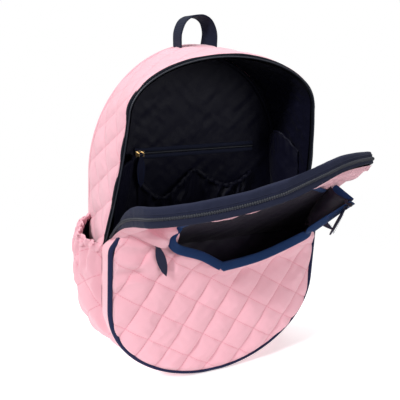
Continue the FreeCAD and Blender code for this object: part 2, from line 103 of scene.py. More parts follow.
# Section of the tape round the main mouth (inward, back)
ZIP_PROFILE = ((-0.6, 3), (-1.0, 0), (0, -1.8), (1.6, -2.0), (3.0, -0.5), (4.2, 8))

# Front panel: where its piping ends, and the shares of its width where the pocket's lip starts and ends
PIPING_RIGHT_TOP, PIPING_LEFT_TOP = 196, 217
MOUTH = (0.30, 0.84)
# Its right edge, from the piping's top to where the lip hangs free of it
GORE_EDGE = ((149.5, FRONT_Y, 193), (127, -80, 202), (100, -110, 217))
# The pocket's open lip from left to right, its rear edge (x, along the flap), and the crest left of it
LIP = ((-67, -67, 227), (-76, -68, 212), (-68, -71, 198), (-38, -74, 186), (-14, -81, 172), (-8, -82, 171),
       (45, -83, 178), (92, -102, 205), GORE_EDGE[-1], (115, -128, 239), (128, -149, 262))
REAR_LIP = ((-67, 55), (-34, 96), (21, 116), (75, 136), (114, 116))
CREST = ((-143, -57, 217), (-137, -60, 220), (-128, -61, 218), (-111, -61, 212), (-95, -61, 205),
         (-79, -61, 197), (-66, -63, 191))

# Pockets inside and outside: seams, floors, tops and how far they stand out
SLIP_SEAMS = (-80, 4, 95)
SLIP_FLOOR = 105
SLIP_TOP = ((-80, 258), (-66, 240), (-52, 231), (-38, 234), (-16, 252), (4, 264),
            (22, 252), (46, 241), (70, 243), (84, 249), (95, 254))
WALL_POCKET_FRONT, WALL_POCKET_FLOOR = -26, 130
SIDE_POCKET_FLOOR, SIDE_POCKET_TOP, SIDE_POCKET_SLOPE = 22, 194, 20
SIDE_POCKET_FRONT, SIDE_POCKET_DEPTH, SIDE_POCKET_BELLY = -25, 67, 27

# Straps: a bow from an anchor below the handle to a tab at the base's corner, for the right side
STRAP_TOP, STRAP_FOOT, STRAP_BOW = (48, 61.5, 392), (104, 61.5, 62), 34.0
STRAP_HALF, STRAP_THICK, STRAP_LENGTH = 22.4, 4.6, 208
BUCKLE_SHARE = 0.62
TAB_LOW_Z, TAB_TOP_Z = 36.0, 60.0
# Handle: heights of its loop's bends, its right foot (x, z), and its shift (x, y) off the CAD's middle
HANDLE_SHOULDER_Z, HANDLE_BEND_Z, HANDLE_SIDE_Z = 467.5, 461, 448
HANDLE_FOOT = ((23, 434), (22, 424))
HANDLE_SHIFT = (-4, 6)
# Stitch line on a leather pull (across it, down from its eye), and how far its faces are from its middle
PULL_STITCHES = ((-3.6, 9), (-3.6, 38), (-2.6, 39.5), (2.6, 39.5), (3.6, 38), (3.6, 9))
PULL_FACE = 1.08


# ---- numbers ----

def smooth(t):
    """0 to 1, level at both ends."""
    t = np.clip(t, 0, 1)
    return t * t * (3 - 2 * t)


def ease(t):
    """0 to 1, steep at first and level at the end."""
    return np.sin(np.clip(t, 0, 1) * np.pi / 2)


def hump(t):
    """0 at both ends and 1 half way."""
    return np.sin(np.pi * np.clip(t, 0, 1))


def between(a, b, t):
    return a * (1 - t) + b * t


def steps(count, start=0.0, end=1.0):
    return np.linspace(start, end, count)


def stack(*parts):
    """Coordinates broadcast to one shape, as points."""
    return np.stack(np.broadcast_arrays(*parts), -1)


def unit(vectors):
    return vectors / np.maximum(np.linalg.norm(vectors, axis=-1, keepdims=True), 1e-9)


def normals(grid):
    return unit(np.cross(np.gradient(grid, axis=0), np.gradient(grid, axis=1)))


def length_along(points, axis=0):
    """Distance travelled along a line of points, or along one axis of a grid of them."""
    step = np.linalg.norm(np.diff(points, axis=axis), axis=-1)
    return np.concatenate([np.zeros_like(np.take(step, [0], axis)), np.cumsum(step, axis)], axis)


def cloth_of(grid):
    """Cloth coordinates of a grid, measured along its rows and columns."""
    return stack(length_along(grid, 0), length_along(grid, 1))


def resample(points, count):
    """The same line with evenly spaced points."""
    points = np.asarray(points, float)
    along = length_along(points)
    return stack(*(np.interp(steps(count, 0, along[-1]), along, column) for column in points.T))


def spline(points, count):
    """A smooth line through the points, evenly spaced."""
    p = np.asarray(points, float)
    p = np.concatenate([[2 * p[0] - p[1]], p, [2 * p[-1] - p[-2]]])
    t = np.linspace(0, 1, 16, endpoint=False)[:, None]
    out = []
    for a, b, c, d in zip(p, p[1:], p[2:], p[3:]):
        out.append(0.5 * (2 * b + (c - a) * t + (2 * a - 5 * b + 4 * c - d) * t ** 2
                          + (3 * b - a - 3 * c + d) * t ** 3))
    return resample(np.concatenate(out + [p[-2:-1]]), count)


def noise(a, b, cell, seed):
    """Smooth random heights between -1 and 1, one lattice value per cell."""
    table = np.random.default_rng(seed).uniform(-1, 1, (64, 64))
    u, v = np.asarray(a) / cell, np.asarray(b) / cell
    i, j = np.floor(u).astype(int), np.floor(v).astype(int)
    across = smooth(u - i)

    def at(di, dj):
        return table[(i + di) % 64, (j + dj) % 64]

    return between(between(at(0, 0), at(1, 0), across), between(at(0, 1), at(1, 1), across), smooth(v - j))


def creases(a, b, seed):
    """Soft drag lines that run slantwise over cloth, about -1 to 1."""
    turned = a * 0.75 + b * 0.66
    other = b * 0.75 - a * 0.66
    return 0.6 * noise(turned, other * 3.2, 26, seed) + 0.4 * noise(turned * 2.4, other, 15, seed + 1)


def quilt(a, b):
    """Height of the quilted cloth above its stitch lines, from 0 to 1."""
    a, b = a - QUILT_START[0], b - QUILT_START[1]
    s, c = math.sin(QUILT_TURN), math.cos(QUILT_TURN)
    p, q = (a * s - b * c) / QUILT_PITCH, (a * c + b * s) / QUILT_PITCH
    return np.abs(np.sin(np.pi * p)) ** 0.55 * (0.35 + 0.65 * np.abs(np.sin(np.pi * q)) ** 0.5)


def beads(along, pitch):
    """Zip teeth: 0 between them, 1 at their middles."""
    return np.abs(np.sin(np.pi * along / pitch))


# ---- materials ----

class Nodes:
    """Short names for building a material's node tree."""

    def __init__(self, name):
        self.material = bpy.data.materials.new(name)
        self.material.use_nodes = True
        self.tree = self.material.node_tree
        self.shader = self.tree.nodes["Principled BSDF"]

    def add(self, kind, **values):
        node = self.tree.nodes.new(kind)
        for key, value in values.items():
            if key in node.inputs:
                node.inputs[key].default_value = value
            else:
                setattr(node, key, value)
        return node

    def link(self, output, target):
        """Feeds a socket, or a shader input given by its name."""
        self.tree.links.new(output, self.shader.inputs[target] if isinstance(target, str) else target)

    def finish(self, **values):
        for key, value in values.items():
            self.shader.inputs[key.replace("_", " ")].default_value = value

    def feed(self, node, slots, values):
        """Sets each slot to its number or colour, or links the output given for it."""
        for slot, value in zip(slots, values):
            if isinstance(value, (int, float, tuple)):
                node.inputs[slot].default_value = value
            elif value is not None:
                self.link(value, node.inputs[slot])

    def math(self, operation, *values):
        node = self.add("ShaderNodeMath", operation=operation)
        self.feed(node, (0, 1, 2), values)
        return node.outputs[0]

    def mix(self, share, a, b):
        node = self.add("ShaderNodeMix", data_type="RGBA")
        self.feed(node, (0, 6, 7), (share, a, b))
        return node.outputs[2]

    def bump(self, height, distance, strength, below=None):
        node = self.add("ShaderNodeBump", Distance=distance, Strength=strength)
        self.feed(node, ("Height", "Normal"), (height, below))
        return node.outputs[0]

    def pattern(self, kind, **values):
        """A procedural texture in the piece's own space."""
        node = self.add(kind, **values)
        self.link(self.add("ShaderNodeTexCoord").outputs["Object"], node.inputs["Vector"])
        return node


def rgb(red, green, blue):
    """Screen colour from 0 to 255 as linear light."""
    def linear(c):
        c = c / 255
        return c / 12.92 if c <= 0.04045 else ((c + 0.055) / 1.055) ** 2.4
    return (linear(red), linear(green), linear(blue), 1.0)


def shade(colour, factor):
    return tuple(c * factor for c in colour[:3]) + (1.0,)


def weave(n, pitch):
    """Over and under threads along the cloth's own directions, and those directions."""
    split = n.add("ShaderNodeSeparateXYZ")
    n.link(n.add("ShaderNodeUVMap", uv_map="cloth").outputs[0], split.inputs[0])
    u, v = (n.math("SINE", n.math("MULTIPLY", split.outputs[k], 2 * math.pi / pitch)) for k in (0, 1))
    return n.math("MULTIPLY", u, v), split


def fabric(name, colour, pitch=0.0009, depth=0.00012, roughness=0.85, sheen=0.32, variation=0.06,
           gloss=0.25):
    """Woven cloth: thread pitch and depth in metres, variation its unevenness, gloss its shine."""
    n = Nodes(name)
    height, split = weave(n, pitch)
    patches = n.pattern("ShaderNodeTexNoise", Scale=22.0, Detail=4.0)
    threads = shade(colour, 1 - variation)
    worn = shade(colour, 1 - 2.5 * variation) if variation > 0.1 else threads
    base = n.mix(patches.outputs["Fac"], colour, worn)
    weft = n.math("MULTIPLY_ADD", height, 0.5, 0.5)
    base = n.mix(n.math("MULTIPLY", weft, 0.5), base, threads)
    n.link(base, "Base Color")
    n.finish(Roughness=roughness, Specular_IOR_Level=gloss, Sheen_Weight=sheen, Sheen_Roughness=0.5)
    n.link(n.bump(height, depth, 0.6), "Normal")
    return n, base, split, height


def quilted_fabric(name, colour, thread):
    """Woven cloth with a darker dashed thread along the quilting grid, and painted shade beside its lines.
    """
    n, base, split, _ = fabric(name, colour)
    s, c = math.sin(QUILT_TURN), math.cos(QUILT_TURN)
    size = QUILT_PITCH * MM
    u, v = (n.math("SUBTRACT", split.outputs[k], QUILT_START[k] * MM) for k in (0, 1))
    p = n.math("SUBTRACT", n.math("MULTIPLY", u, s / size), n.math("MULTIPLY", v, c / size))
    q = n.math("ADD", n.math("MULTIPLY", u, c / size), n.math("MULTIPLY", v, s / size))
    dashes, shadows = [], []
    for across, along in ((p, q), (q, p)):
        off = n.math("ABSOLUTE", n.math("SUBTRACT", n.math("FRACT", n.math("ADD", across, 0.5)), 0.5))
        line = n.math("LESS_THAN", off, THREAD_WIDTH / 2 / QUILT_PITCH)
        stitch = n.math("SINE", n.math("MULTIPLY", along, 2 * math.pi * QUILT_PITCH / STITCH_PITCH))
        dashes.append(n.math("MULTIPLY", line, n.math("GREATER_THAN", stitch, -0.55)))
        # Painted shade: the cloth is drawn darker towards each quilting line, within STITCH_SHADE of it.
        near = n.math("SUBTRACT", 1.0, n.math("MULTIPLY", off, QUILT_PITCH / STITCH_SHADE))
        shadows.append(n.math("MULTIPLY", n.math("MAXIMUM", near, 0.0), 0.2))
    # sewn holds the thread's dashes and that painted shade together; both take the darker thread colour.
    sewn = n.math("MAXIMUM", n.math("MAXIMUM", *dashes), n.math("MAXIMUM", *shadows))
    sewn = n.math("MINIMUM", sewn, 1.0)
    n.link(n.mix(n.math("MULTIPLY", sewn, 0.75), base, thread), "Base Color")
    return n.material


def leather(name, colour):
    n = Nodes(name)
    grain = n.pattern("ShaderNodeTexVoronoi", Scale=1400.0)
    wear = n.pattern("ShaderNodeTexNoise", Scale=120.0, Detail=5.0)
    n.link(n.mix(wear.outputs["Fac"], colour, shade(colour, 1.5)), "Base Color")
    n.finish(Roughness=0.5, Specular_IOR_Level=0.2)
    n.link(n.bump(grain.outputs["Distance"], 0.0001, 0.5), "Normal")
    return n.material


def hard(name, colour, roughness, metallic):
    """Metal, enamel or plastic with faint wear."""
    n = Nodes(name)
    wear = n.pattern("ShaderNodeTexNoise", Scale=300.0, Detail=4.0)
    n.finish(Base_Color=colour, Metallic=metallic)
    n.link(n.math("MULTIPLY_ADD", wear.outputs["Fac"], 0.2, roughness - 0.1), "Roughness")
    return n.material


def webbing(name, colour):
    """Ribs across, fine threads along."""
    n, _, split, height = fabric(name, colour, 0.0011, 0.00015, 0.75, 0.04, 0.05, 0.2)
    ribs = n.math("SINE", n.math("MULTIPLY", split.outputs[0], 2 * math.pi / RIB_PITCH))
    n.link(n.bump(ribs, 0.00025, 0.7, n.bump(height, 0.0001, 0.5)), "Normal")
    return n.material


RIB_PITCH = 0.0022
# The darker pink colours the quilting thread and also the painted shade beside its lines.
PINK, PINK_THREAD_AND_SHADE = rgb(234, 178, 190), rgb(219, 138, 154)
# Plain cloths: colour, then fabric's values in its own order
CLOTHS = {
    "plain pink": (PINK,),
    "navy lining": (rgb(15, 15, 35), 0.0006, 0.00005, 0.48, 0.02, 0.12, 0.19),
    "pocket lining": (rgb(29, 22, 38), 0.0006, 0.00005, 0.5, 0.03, 0.12, 0.28),
    "navy tape": (rgb(33, 37, 58), 0.0011, 0.00015, 0.8, 0.04, 0.08, 0.15),
    "dark tape": (rgb(13, 16, 27), 0.0011, 0.00015, 0.8, 0.03, 0.08, 0.12),
    "blue tape": (rgb(19, 52, 98), 0.0012, 0.00015, 0.75, 0.05, 0.1, 0.2),
    "navy piping": (rgb(20, 28, 66), 0.001, 0.00012, 0.7, 0.04, 0.08, 0.2),
}
MATERIALS = {name.replace(" ", "_"): fabric(name, *values)[0].material for name, values in CLOTHS.items()}
MATERIALS.update({
    "quilted_pink": quilted_fabric("quilted pink", PINK, PINK_THREAD_AND_SHADE),
    "navy_leather": leather("navy leather", rgb(22, 24, 46)),
    "navy_webbing": webbing("navy webbing", rgb(20, 27, 48)),
    "navy_coil": hard("navy coil", rgb(26, 30, 42), 0.45, 0.0),
    "navy_metal": hard("navy enamel", rgb(20, 22, 40), 0.4, 0.2),
    "gold_metal": hard("gold", rgb(245, 218, 170), 0.3, 1.0),
    "buckle_plastic": hard("buckle plastic", rgb(20, 22, 36), 0.45, 0.0),
})


# ---- meshes ----

def add_mesh(name, points, faces, material, cloth=None):
    mesh = bpy.data.meshes.new(name)
    mesh.from_pydata((np.asarray(points, float) * MM).tolist(), [], faces)
    if cloth is not None:
        layer = mesh.uv_layers.new(name="cloth")
        index = np.zeros(len(mesh.loops), int)
        mesh.loops.foreach_get("vertex_index", index)
        layer.data.foreach_set("uv", (cloth.reshape(-1, 2) * MM)[index].astype(np.float32).ravel())
    mesh.materials.append(MATERIALS[material])
    mesh.polygons.foreach_set("use_smooth", [True] * len(mesh.polygons))
    mesh.update()
    piece = bpy.data.objects.new(name, mesh)
    bpy.context.scene.collection.objects.link(piece)
    return piece


def grid_faces(rows, cols, wrap=False, flip=False, tubular=False):
    """Quads of a grid; wrap joins its last row to its first, and tubular its last column."""
    i, j = np.meshgrid(np.arange(rows if wrap else rows - 1), np.arange(cols if tubular else cols - 1),
                       indexing="ij")
    n, m = (i + 1) % rows, (j + 1) % cols
    quads = stack(i * cols + j, n * cols + j, n * cols + m, i * cols + m).reshape(-1, 4)
    return (quads[:, ::-1] if flip else quads).tolist()


def settle(piece, body, material, *nodes):
    """A piece rides on its body, or is fixed in place where it joins two, and stands for its CAD nodes,
    which it hides. material is not used.
    """
    if body in BLENDS:
        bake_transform(piece)
    else:
        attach(piece, body)
    if nodes:
        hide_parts(*nodes)
    return piece


def add_cloth(name, grid, cloth, material, body, *nodes, wrap=False, flip=False, thick=0.0):
    """A grid of points as cloth; thick adds a second side behind it."""
    faces = grid_faces(*grid.shape[:2], wrap, flip)
    piece = add_mesh(name, grid.reshape(-1, 3), faces, material, cloth)
    if thick:
        solid = piece.modifiers.new("thickness", "SOLIDIFY")
        solid.thickness = thick * MM
        solid.offset = -1
    return settle(piece, body, material, *nodes)


def tube_mesh(name, grid, material, closed=False, cloth=None):
    """A surface round a line: one row of points per section, each section a closed ring."""
    rows, cols = grid.shape[:2]
    faces = grid_faces(rows, cols, closed, tubular=True)
    if not closed:
        faces += [list(range(cols))[::-1], [(rows - 1) * cols + k for k in range(cols)]]
    return add_mesh(name, grid.reshape(-1, 3), faces, material, cloth_of(grid) if cloth is None else cloth)


def tube(name, path, radius, material, sides=8, closed=False, flat=1.0, up=(0, 0, 1)):
    """A round or flattened cord along a line of points."""
    ahead = unit(np.roll(path, -1, 0) - np.roll(path, 1, 0) if closed else np.gradient(path, axis=0))
    side = unit(np.cross(ahead, up))
    turn = np.linspace(0, 2 * np.pi, sides, endpoint=False)[:, None]
    ring = side[:, None] * np.cos(turn) + np.cross(side, ahead)[:, None] * (flat * np.sin(turn))
    radius = np.broadcast_to(radius, len(path))[:, None, None]
    return tube_mesh(name, path[:, None] + ring * radius, material, closed)


def add_tube(name, path, radius, material, body, *nodes, slot=None, **shape):
    return settle(tube(name, path, radius, material, **shape), body, slot or material, *nodes)


def ribbon(name, path, normal, width, thickness, material):
    """Webbing: a flat strip with rounded edges, its broad side facing along normal."""
    ahead = unit(np.gradient(path, axis=0))
    side = unit(np.cross(ahead, normal))
    w, h = width / 2, thickness / 2
    section = resample([(-w, 0), (-w + h, h), (0, h), (w - h, h), (w, 0), (w - h, -h), (0, -h),
                        (-w + h, -h), (-w, 0)], 33)[:-1]
    grid = path[:, None] + side[:, None] * section[:, :1] + np.cross(side, ahead)[:, None] * section[:, 1:]
    return tube_mesh(name, grid, material)


def merge(name, pieces):
    """Several small pieces of one material as one."""
    bpy.ops.object.select_all(action="DESELECT")
    for piece in pieces:
        piece.select_set(True)
    bpy.context.view_layer.objects.active = pieces[0]
    bpy.ops.object.join()
    pieces[0].name = name
    pieces[0].data.name = name
    return pieces[0]


# ---- the bag's outline and its outer walls ----

def front_outline(count):
    """Closed loop (x, z) of the front edge, from the base's middle round by the right."""
    t = steps(60, 0, np.pi / 2)
    base = stack(HALF_WIDTH * np.sin(t), BASE_Z - BASE_RISE * np.cos(t))
    straight = [(HALF_WIDTH, FOLD_Z), (FRONT_SHOULDER, FRONT_SHOULDER_Z)]
    arch = stack(FRONT_SHOULDER * np.cos(t), FRONT_SHOULDER_Z + (TOP_Z - FRONT_SHOULDER_Z) * np.sin(t))
    return mirror_loop(np.concatenate([base, straight, arch]), count)


def back_outline(count):
    """The back edge, a little narrower and without a straight side."""
    t = steps(60, 0, np.pi / 2)
    base = stack(BACK_HALF * np.sin(t), BASE_Z + 2 - (BASE_RISE - 1) * np.cos(t))
    arch = stack(BACK_HALF * np.cos(t), BACK_SHOULDER_Z + (TOP_Z - BACK_SHOULDER_Z) * np.sin(t))
    return mirror_loop(np.concatenate([base, arch]), count)


def mirror_loop(right, count):
    """A closed loop of evenly spaced points from its right half; its first point isn't repeated."""
    right = resample(right, count // 2 + 1)
    loop = np.concatenate([right, right[::-1][1:-1] * (-1, 1)])
    loop[:, 1] = np.maximum(loop[:, 1], 1.2)
    return loop


def halves(loop):
    """The loop's right side, going up, and its left side, going down."""
    return loop[:len(loop) // 2], loop[len(loop) // 2:]


def piped_edge(past=0):
    """The front edge below the pocket's two ends, from the left round the base to the right."""
    right, left = halves(front_outline(620))
    return np.concatenate([left[left[:, 1] < PIPING_LEFT_TOP + past],
                           right[right[:, 1] < PIPING_RIGHT_TOP + past]])


def front_edge_y(z):
    """Depth of the gusset's front edge: the seam below the fold, leaning forward above it."""
    return SEAM_Y - (SEAM_Y - FRONT_Y) * ease((z - FOLD_Z) / 168.0)


def gusset_grid(count=620, inset=0.0, y_inset=0.0):
    """Loop x depth grid of the gusset, its outward normals and its cloth coordinates."""
    front, back = front_outline(count)[:, None], back_outline(count)[:, None]
    share = steps(40)
    x = between(front[..., 0], back[..., 0], share)
    z = between(front[..., 1], back[..., 1], share)
    y = between(front_edge_y(front[..., 1]) + y_inset, BACK_Y - 1.5 - y_inset, share)
    grid = stack(x, y, z)
    n = normals(np.concatenate([grid[-1:], grid, grid[:1]]))[1:-1]
    n *= np.sign((n[..., 0] * x + n[..., 2] * (z - 200)).mean())
    return grid - n * inset, n, stack(length_along(front[:, 0])[:, None], y)


def add_gusset():
    grid, n, cloth = gusset_grid()
    a, b = cloth[..., 0], cloth[..., 1]
    share = steps(grid.shape[1])
    near_seam = smooth(share / 0.09) * smooth((1 - share) / 0.12)
    low = smooth((grid[..., 2] - 4) / 22)
    upper = 0.75 - 0.25 * smooth((grid[..., 2] - 300) / 60)
    hill = quilt(a, b) * PUFF * upper * near_seam * (0.25 + 0.75 * low)
    drag = creases(a, b, 5) * 1.1 * near_seam * low
    grid = grid + n * (hill + drag - 1.0)[..., None]
    grid[..., 2] = np.maximum(grid[..., 2], 0.6)
    piece = add_cloth("gusset_quilted", grid, cloth, "quilted_pink", "bag", "main_gusset",
                      wrap=True, thick=1.6)


def add_disc(name, loop, y_edge, crown, hill, material, node, *others, seed=3):
    """A panel of the bag inside a closed outline, bulging along y by crown and quilted by hill."""
    inside = steps(60)
    centre = stack(0.0, np.interp(loop[:, 1], (40, 330), (110, 290)))
    flat = between(loop[:, None], centre[:, None], inside[:, None])
    a, b = flat[..., 0], flat[..., 1]
    relief = (hill * quilt(a, b) + creases(a, b, seed)) * smooth(inside / 0.12)
    y = y_edge + crown * ease(inside / 0.5) + np.sign(crown) * relief
    return add_cloth(name, stack(a, y, b), flat, material, "bag", node, *others, wrap=True, flip=crown < 0)


def add_back():
    loop = back_outline(620)
    piece = add_disc("back_quilted", loop, BACK_Y - 2.0, 6.0, 2.6, "quilted_pink",
                     "back_panel", "back_foam")
    rim = stack(loop[:, 0], BACK_Y - 1.0, np.maximum(loop[:, 1], 3.2))
    add_tube("back_piping", rim, 2.4, "plain_pink", "bag", sides=10, closed=True, up=(0, 1, 0))


def left_tuck(x, z):
    """How far the left edge curls in as it runs up under the crest."""
    return 8.0 * smooth((z - PIPING_RIGHT_TOP) / 22) * (x < 0)


def add_front_piping():
    """The navy cord round the front pocket panel's edge, up to the pocket's two ends."""
    x, z = piped_edge().T
    tuck = left_tuck(x, z)
    path = stack(x * 0.999 + tuck, FRONT_Y - 0.5 - 0.5 * tuck, np.maximum(z, 3.0))
    shown = 2.1 + np.where(x < 0, 1.2, 0.7) * smooth((z - 12) / 90)
    add_tube("front_piping_cord", path, shown, "navy_piping", "bag", "front_piping", sides=12, up=(0, 1, 0))


def add_pocket_gusset():
    """The plain strip between the piping and the main seam, round the bottom and both sides."""
    line = piped_edge(past=1)
    x, z = line[:, :1], line[:, 1:]
    share = steps(16)
    rear = SEAM_Y + 1 - np.maximum(z - FOLD_Z + 1, 0) * np.where(x < 0, 1.03, 0.62)
    tuck = left_tuck(x, z)
    y = between(FRONT_Y - 0.5 * tuck, rear, share)
    out = unit(line - (0, 200.0))
    bulge = 1.6 * hump(share) + 0.9 * creases(np.arange(len(line))[:, None] * 2.0, y, 31) - 0.9
    grid = stack(x + out[:, :1] * bulge + tuck, y, np.maximum(z + out[:, 1:] * bulge, 0.8))
    cloth = cloth_of(grid)
    piece = add_cloth("pocket_gusset_strip", grid, cloth, "plain_pink", "bag", "pocket_gusset", thick=1.4)
    centre = np.array((0, 0, BASE_Z))
    inner = centre + (grid - centre) * (0.978, 0.99, 0.97) + (0, 0, 2)
    lining = add_cloth("pocket_gusset_lining", inner, cloth, "pocket_lining", "bag", flip=True)


# ---- the open flap ----

STATIONS = steps(120, 0, FLAP_LENGTH)


def flap_line(x):
    """(y, z, pitch) along the flap from the hinge out, at one distance from the middle."""
    pitch = np.radians(FLAP_PITCH + FLAP_TWIST * (x / HALF_WIDTH) * np.minimum(1, STATIONS / 80)
                       - FLAP_CURL * STATIONS / 240)
    step = np.diff(STATIONS, prepend=0)
    return SEAM_Y - np.cumsum(np.cos(pitch) * step), FOLD_Z + np.cumsum(np.sin(pitch) * step), pitch


def flap_point(x, s, height=0.0):
    """A point of the flap: x across, s along it from the hinge, height above its upper side."""
    x, s, height = np.broadcast_arrays(*(np.asarray(v, float) for v in (x, s, height)))
    lines = np.array([flap_line(column) for column in steps(31, -HALF_WIDTH, HALF_WIDTH)])
    column = np.clip((x + HALF_WIDTH) / (2 * HALF_WIDTH) * 30, 0, 29.999)
    row = np.clip(s / FLAP_LENGTH * 119, 0, 118.999)
    i, j = column.astype(int), row.astype(int)

    def at(part):
        t = lines[:, part]
        near, far = (between(t[k, j], t[k, j + 1], row - j) for k in (i, i + 1))
        return between(near, far, column - i)

    y, z, pitch = at(0), at(1), at(2)
    corner = smooth((x - 50) / 90) * smooth((s - 50) / 90)
    dome = smooth((s - 60) / 150) * np.exp(-((x - 52) / 62) ** 2)
    z = z + FLAP_DOME * dome - FLAP_CORNER_DROP * corner
    return stack(x + FLAP_CORNER_REACH * corner, y + np.sin(pitch) * height, z + np.cos(pitch) * height)


def nose(end, sharp=FLAP_SHARP):
    """Width of the flap's end, as a share, from the end of its straight sides (0) to its tip (1)."""
    return (1 - np.clip(end, 0, 1) ** sharp) ** 0.62


def flap_half_width(s, sharp=FLAP_SHARP):
    end = (s - FLAP_STRAIGHT) / (FLAP_LENGTH - FLAP_STRAIGHT)
    return np.where(s < FLAP_STRAIGHT, np.interp(s, *zip(*FLAP_EDGE)), FLAP_TIP_HALF * nose(end, sharp))


def flap_edge(count):
    """(x, s) along the flap's free edge from its left root round the end to its right root."""
    t = steps(60, 0, np.pi / 2)[1:]
    sides = []
    for start, sharp in ((22.0, FLAP_SHARP), (8.0, FLAP_RIGHT_SHARP)):
        s = steps(60, start, FLAP_STRAIGHT)
        end = stack(FLAP_TIP_HALF * nose(np.sin(t), sharp),
                    FLAP_STRAIGHT + (FLAP_LENGTH - FLAP_STRAIGHT) * np.sin(t))
        sides.append(np.concatenate([stack(flap_half_width(s), s), end]))
    left, right = sides
    return resample(np.concatenate([left * (-1, 1), right[::-1][1:]]), count)


def add_flap_layer(name, height, material, node, hill=0.0, crinkle=0.0, seed=7, flip=False):
    """A layer of the flap between its hinge and its free edge."""
    s = steps(110, 0, FLAP_LENGTH - 1.5)[:, None]
    across = steps(140, -1, 1)
    x = np.where(across < 0, flap_half_width(s), flap_half_width(s, FLAP_RIGHT_SHARP)) * across
    edge = smooth((1 - np.abs(across)) / 0.06) * smooth((FLAP_LENGTH - s) / 10)
    lift = (hill * quilt(x, s) + crinkle * creases(x, s, seed)) * edge
    piece = add_cloth(name, flap_point(x, s, height + lift), stack(x, s), material, "flap", node, flip=flip)


def add_flap():
    add_flap_layer("flap_outer", -3.0, "quilted_pink", "flap_panel", hill=-PUFF, crinkle=-1.4, flip=True)
    add_flap_layer("flap_lining_cloth", 1.0, "navy_lining", "flap_lining", crinkle=1.6, seed=17)
    add_flap_band()


def add_flap_band():
    """The stiff zip tape that stands round the flap's free edge, with the coil along it."""
    edge = flap_edge(900)
    tangent = unit(np.gradient(edge, axis=0))
    out = stack(-tangent[:, 1], tangent[:, 0])
    along = steps(len(edge), 0, length_along(edge)[-1])[:, None]
    rooted = smooth(np.minimum(along, along[-1] - along) / 80)
    left = smooth((150 - along) / 120)
    outward, up = resample(BAND_PROFILE, 30).T
    wave = (0.5 + 3.0 * left) * noise(along, 0, 22, 9) + 0.5 * noise(along, 9, 7, 10)
    lean = (0.6 + 3.4 * left) * noise(along, 30, 30, 11)
    share = np.clip(up / BAND_HEIGHT, 0, 1)
    o = outward + wave * share + 0.35 * noise(along, up, 4, 12) - 6.0 * (1 - rooted)
    h = up + lean * share
    h = np.where(h < 0, h * (1 - 0.85 * smooth((along - 280) / 150)), h)
    taller = 0.4 * smooth((460 - along) / 180) * smooth((along - 20) / 90)
    h = h + taller * np.maximum(h - COIL_HEIGHT, 0)
    h = h * np.interp(along, (0, 110), (0.3, 1.0)) * (0.25 + 0.75 * rooted)
    grid = flap_point(edge[:, :1] + out[:, :1] * o, edge[:, 1:] + out[:, 1:] * o, h)
    band = add_cloth("flap_band", grid, stack(along, h), "navy_tape", "flap", "flap_zip_tape")
    count = 2 * len(edge)
    fine, fine_out = resample(edge, count), resample(out, count)
    fine_rooted, fine_wave = (np.interp(steps(count), steps(len(edge)), values[:, 0])
                              for values in (rooted, wave))
    teeth = 1.1 + 0.99 * beads(np.arange(count) * along[1] / 2, 2.6)
    for name, height, radius, material, nodes in (
            ("flap_coil", COIL_HEIGHT, teeth, "navy_coil", ("flap_zip_coil",)),
            ("flap_coil_seam", COIL_SEAM_HEIGHT, 0.5, "navy_tape", ())):
        reach = 3.0 + fine_wave * height / BAND_HEIGHT - 6.0 * (1 - fine_rooted)
        x, s = (fine + fine_out * reach[:, None]).T
        path = flap_point(x, s, height * (0.25 + 0.75 * fine_rooted))
        add_tube(name, path, radius, material, "flap", *nodes, slot="navy_coil")


# ---- front panel and its open pocket ----

TAPE = {"sides": 12, "flat": 0.24}


def column_tops(count):
    """Where each column of the front panel ends: on the crest, on the pocket's lip, or on its right end."""
    start, end = MOUTH
    lines = ((spline(CREST, 200), 0, start), (spline(LIP[2:-2], 300), start, end),
             (spline(GORE_EDGE[::-1], 120), end, 1))
    share = steps(count)
    top = np.zeros((count, 3))
    for k, value in enumerate(share):
        line, low, high = lines[np.searchsorted(MOUTH, value, "right")]
        at = (value - low) / (high - low)
        top[k] = line[min(int(at * (len(line) - 1) + 0.5), len(line) - 1)]
    for _ in range(3):
        top[1:-1] = (top[:-2] + 2 * top[1:-1] + top[2:]) / 4
    return share, top


def front_grid(cols=240, rows=120, knee_at=0.62):
    """The front panel: flat up to its knees at knee_at, then drawn up to the pocket's mouth."""
    share, top = column_tops(cols)
    x = np.interp(share, (0, *MOUTH, 1), (-HALF_WIDTH, -68, 118, HALF_WIDTH)) * 0.999
    floor = np.maximum(BASE_Z - BASE_RISE * np.cos(np.arcsin(x / HALF_WIDTH)), 1.5)
    floor = np.where(np.abs(x) > HALF_WIDTH - 2, BASE_Z, floor)
    low = stack(x, FRONT_Y, floor)
    knee = stack(x, FRONT_Y, np.minimum(150, top[:, 2] - 30))
    t = steps(rows)[:, None]
    below = (t / knee_at)[..., None]
    above = np.clip((t - knee_at) / (1 - knee_at), 0, 1)[..., None]
    start = np.linalg.norm(top - knee, axis=1)[:, None] * (0, 0, 1.0)
    end = (top - knee) * 1.15
    curve = between(knee, top, smooth(above)) + above * (1 - above) * ((1 - above) * start - above * end)
    grid = np.where(below < 1, between(low, knee, below), curve)
    height = length_along(grid, 0)
    side = 1 - np.abs(x) / HALF_WIDTH
    reach = ease(side * 3.2) * ease(height / 60)
    grid[..., 1] -= 7.5 * reach * (0.3 + 0.7 * np.clip((1 - t) / 0.25, 0, 1))
    return grid, stack(x, floor + height), side


